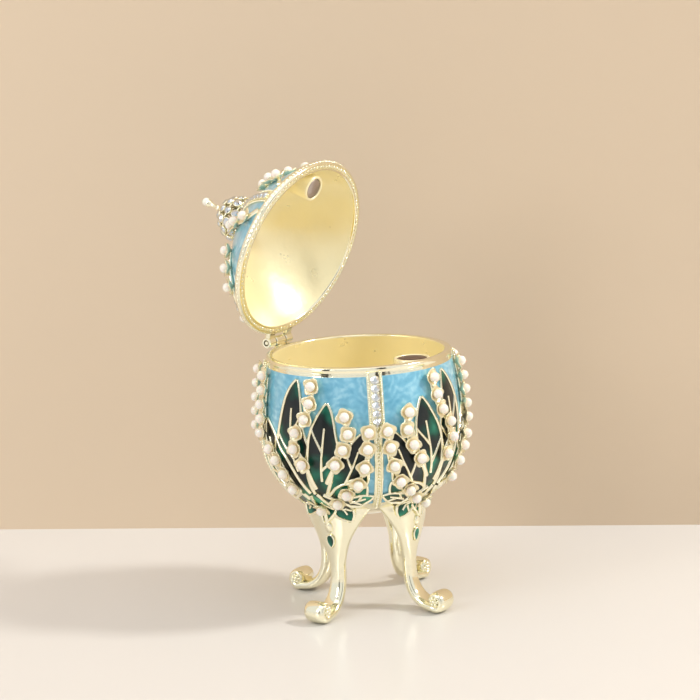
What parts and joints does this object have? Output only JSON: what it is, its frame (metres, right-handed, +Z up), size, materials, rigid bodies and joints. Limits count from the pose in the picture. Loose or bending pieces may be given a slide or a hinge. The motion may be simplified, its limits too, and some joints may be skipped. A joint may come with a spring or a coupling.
{
  "type": "jewelled egg trinket box",
  "caption": "Gilt cast-metal egg box on scroll legs, enamelled, with pearl sprays and stone strips, crowned finial and a hinged lid that stands open.",
  "frame": {"origin": "floor level, middle of the open box's footprint", "axes": "+Z up; +Y to the back, where the hinge is; the hinge turns about X"},
  "size_m": [0.0638, 0.0865, 0.1278],
  "materials": {
    "gold": "gold-plated cast zinc alloy, polished",
    "blue_enamel": "pearlescent soft enamel, glossy, brushed in swirls",
    "green_enamel": "translucent dark green soft enamel, glossy",
    "pearl": "cream imitation pearl, satin lustre",
    "crystal": "faceted clear glass stones, foil-backed",
    "magnet": "plated magnet disc, satin"
  },
  "bodies": {
    "base": {"bowl": "gold", "bowl_magnet": "magnet", "hinge_pin": "gold", "bowl_stones_1": "crystal", "bowl_stones_2": "crystal", "bowl_stones_3": "crystal", "bowl_stones_4": "crystal", "bowl_spray_1_1": "pearl", "bowl_spray_1_2": "pearl", "bowl_spray_1_3": "pearl", "bowl_spray_1_4": "pearl", "bowl_spray_1_5": "pearl", "bowl_spray_2_1": "pearl", "bowl_spray_2_2": "pearl", "bowl_spray_2_3": "pearl", "bowl_spray_2_4": "pearl", "bowl_spray_2_5": "pearl", "bowl_spray_3_1": "pearl", "bowl_spray_3_2": "pearl", "bowl_spray_3_3": "pearl", "bowl_spray_3_4": "pearl", "bowl_spray_3_5": "pearl", "bowl_spray_4_1": "pearl", "bowl_spray_4_2": "pearl", "bowl_spray_4_3": "pearl", "bowl_spray_4_4": "pearl", "bowl_spray_4_5": "pearl", "bowl_pearl_1_1": "pearl", "bowl_pearl_2_1": "pearl", "bowl_pearl_3_1": "pearl", "bowl_pearl_4_1": "pearl"},
    "lid": {"lid": "gold", "lid_magnet": "magnet", "crown": "gold", "finial_pearl": "pearl", "lid_stones_1": "crystal", "lid_stones_2": "crystal", "lid_stones_3": "crystal", "lid_stones_4": "crystal", "lid_spray_1_1": "pearl", "lid_spray_1_2": "pearl", "lid_spray_2_1": "pearl", "lid_spray_2_2": "pearl", "lid_spray_3_1": "pearl", "lid_spray_3_2": "pearl", "lid_spray_4_1": "pearl", "lid_spray_4_2": "pearl"}
  },
  "joints": [
    {"name": "lid_hinge", "type": "hinge", "parent": "base", "child": "lid", "pos_m": [0, 0.0179, 0.07475], "axis": [1, 0, 0], "range_deg": [0, 70]}
  ]
}
